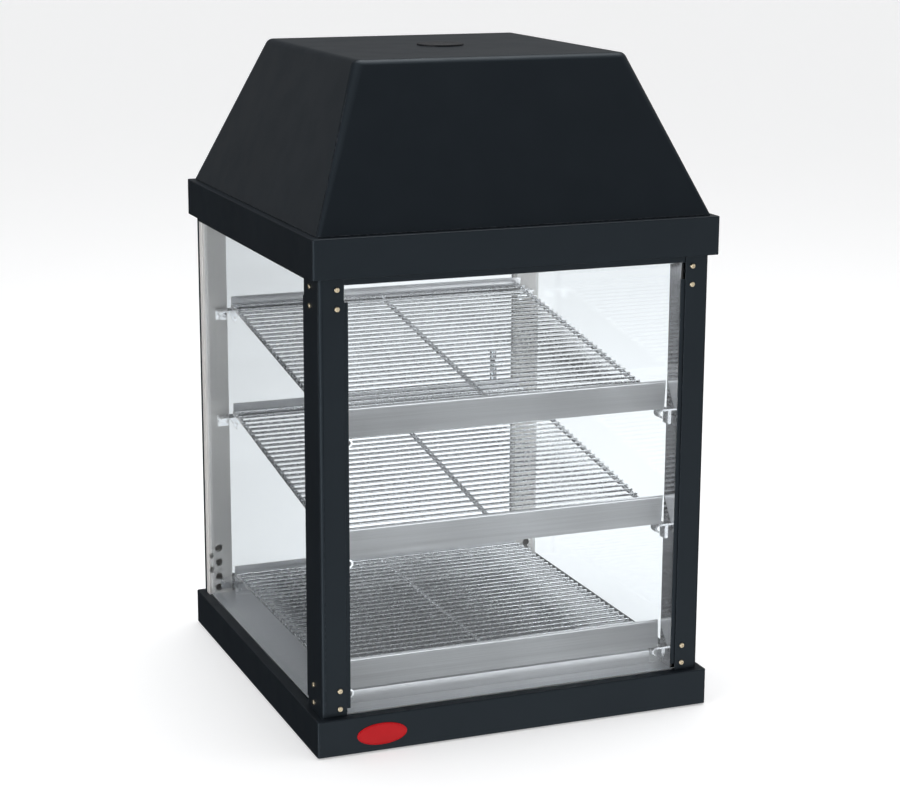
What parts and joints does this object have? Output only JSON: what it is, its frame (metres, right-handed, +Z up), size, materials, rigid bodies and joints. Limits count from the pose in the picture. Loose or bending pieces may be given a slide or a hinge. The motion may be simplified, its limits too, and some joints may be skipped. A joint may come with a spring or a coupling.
{
  "type": "hot food display case",
  "caption": "Countertop heated display case: black base, corner posts and pyramid hood, glass on three sides, hinged glass rear door, tilted wire shelves with steel front rails.",
  "frame": {"origin": "centre of the footprint on the counter, on the plane the feet rest on", "axes": "+X right along the wide front, +Y from the front glass to the service door, +Z up"},
  "size_m": [0.4572, 0.484, 0.7245],
  "materials": {
    "black_coat": "satin powder coat, slightly blue black",
    "polished_steel": "mirror polished stainless sheet",
    "brushed_stainless": "fine straight brushed stainless sheet",
    "bright_wire": "bright plated wire and small hardware",
    "coated_sheet": "aluminised steel sheet, dull",
    "clear_glass": "clear toughened glass",
    "bulb_glass": "clear lamp glass",
    "brass_screw": "plated pan head screw",
    "rubber_black": "matte moulded rubber",
    "black_plastic": "fine grained black moulding",
    "rocker_plastic": "smooth black moulding",
    "nylon": "natural nylon",
    "heater_sheath": "heat tinted tube",
    "motor_steel": "stamped laminations and end caps",
    "ceramic": "glazed ceramic",
    "red_lens": "translucent red lens",
    "red_enamel": "plain red enamel oval"
  },
  "bodies": {
    "cabinet": {"base_skirt": "black_coat", "header_band": "black_coat", "lintel_frame": "black_coat", "hood": "black_coat", "post_front_left": "black_coat", "post_front_right": "black_coat", "post_rear_left": "black_coat", "post_rear_right": "black_coat", "glass_strips": "black_coat", "control_plate": "black_coat", "column_front_left": "polished_steel", "column_front_right": "polished_steel", "column_rear_left": "polished_steel", "column_rear_right": "polished_steel", "deck_pan": "brushed_stainless", "deck_sills": "brushed_stainless", "ceiling_panel": "brushed_stainless", "shelf_clips": "bright_wire", "base_plate": "coated_sheet", "plenum_cover": "coated_sheet", "element_brackets": "coated_sheet", "inlet_ring": "coated_sheet", "motor_mount": "coated_sheet", "glass_front": "clear_glass", "glass_left": "clear_glass", "glass_right": "clear_glass", "lamp_bulb": "bulb_glass", "post_screws": "brass_screw", "base_feet": "rubber_black", "hood_plug": "black_plastic", "rocker_housing": "black_plastic", "cord_gland": "black_plastic", "terminal_block": "black_plastic", "door_magnet": "black_plastic", "thermostat_body": "black_plastic", "hinge_bushes": "nylon", "heating_element": "heater_sheath", "fan_motor": "motor_steel", "limit_switch": "motor_steel", "lamp_holder": "ceramic", "pilot_lamp": "red_lens", "badge": "red_enamel"},
    "door": {"door_glass": "clear_glass", "door_hinges": "bright_wire", "door_handle": "bright_wire", "door_strike": "brushed_stainless"},
    "thermostat_dial": {"thermostat_knob": "black_plastic", "thermostat_shaft": "bright_wire"},
    "power_rocker": {"rocker_button": "rocker_plastic"},
    "fan_rotor": {"fan_wheel": "coated_sheet", "fan_shaft": "bright_wire"},
    "shelf_top": {"rack_top": "bright_wire", "rail_top": "brushed_stainless", "back_strip_top": "brushed_stainless"},
    "shelf_middle": {"rack_middle": "bright_wire", "rail_middle": "brushed_stainless", "back_strip_middle": "brushed_stainless"},
    "shelf_bottom": {"rack_bottom": "bright_wire", "rail_bottom": "brushed_stainless", "back_strip_bottom": "brushed_stainless"}
  },
  "joints": [
    {"name": "door_hinge", "type": "hinge", "parent": "cabinet", "child": "door", "pos_m": [-0.179, 0.224, 0.274], "axis": [0, 0, 1], "range_deg": [0, 100]},
    {"name": "thermostat_turn", "type": "hinge", "parent": "cabinet", "child": "thermostat_dial", "pos_m": [-0.048, 0.20132, 0.622], "axis": [0, -0.9119, -0.4103], "range_deg": [0, 300]},
    {"name": "power_rock", "type": "hinge", "parent": "cabinet", "child": "power_rocker", "pos_m": [0.062, 0.20333, 0.6229], "axis": [1, 0, 0], "range_deg": [0, 20]},
    {"name": "fan_spin", "type": "hinge", "parent": "cabinet", "child": "fan_rotor", "pos_m": [0, 0.01, 0.56], "axis": [0, 0, 1], "continuous": true},
    {"name": "shelf_top_lift", "type": "slide", "parent": "cabinet", "child": "shelf_top", "axis": [0, 0, 1], "range_m": [0, 0.015]},
    {"name": "shelf_middle_lift", "type": "slide", "parent": "cabinet", "child": "shelf_middle", "axis": [0, 0, 1], "range_m": [0, 0.015]},
    {"name": "shelf_bottom_lift", "type": "slide", "parent": "cabinet", "child": "shelf_bottom", "axis": [0, 0, 1], "range_m": [0, 0.015]}
  ]
}
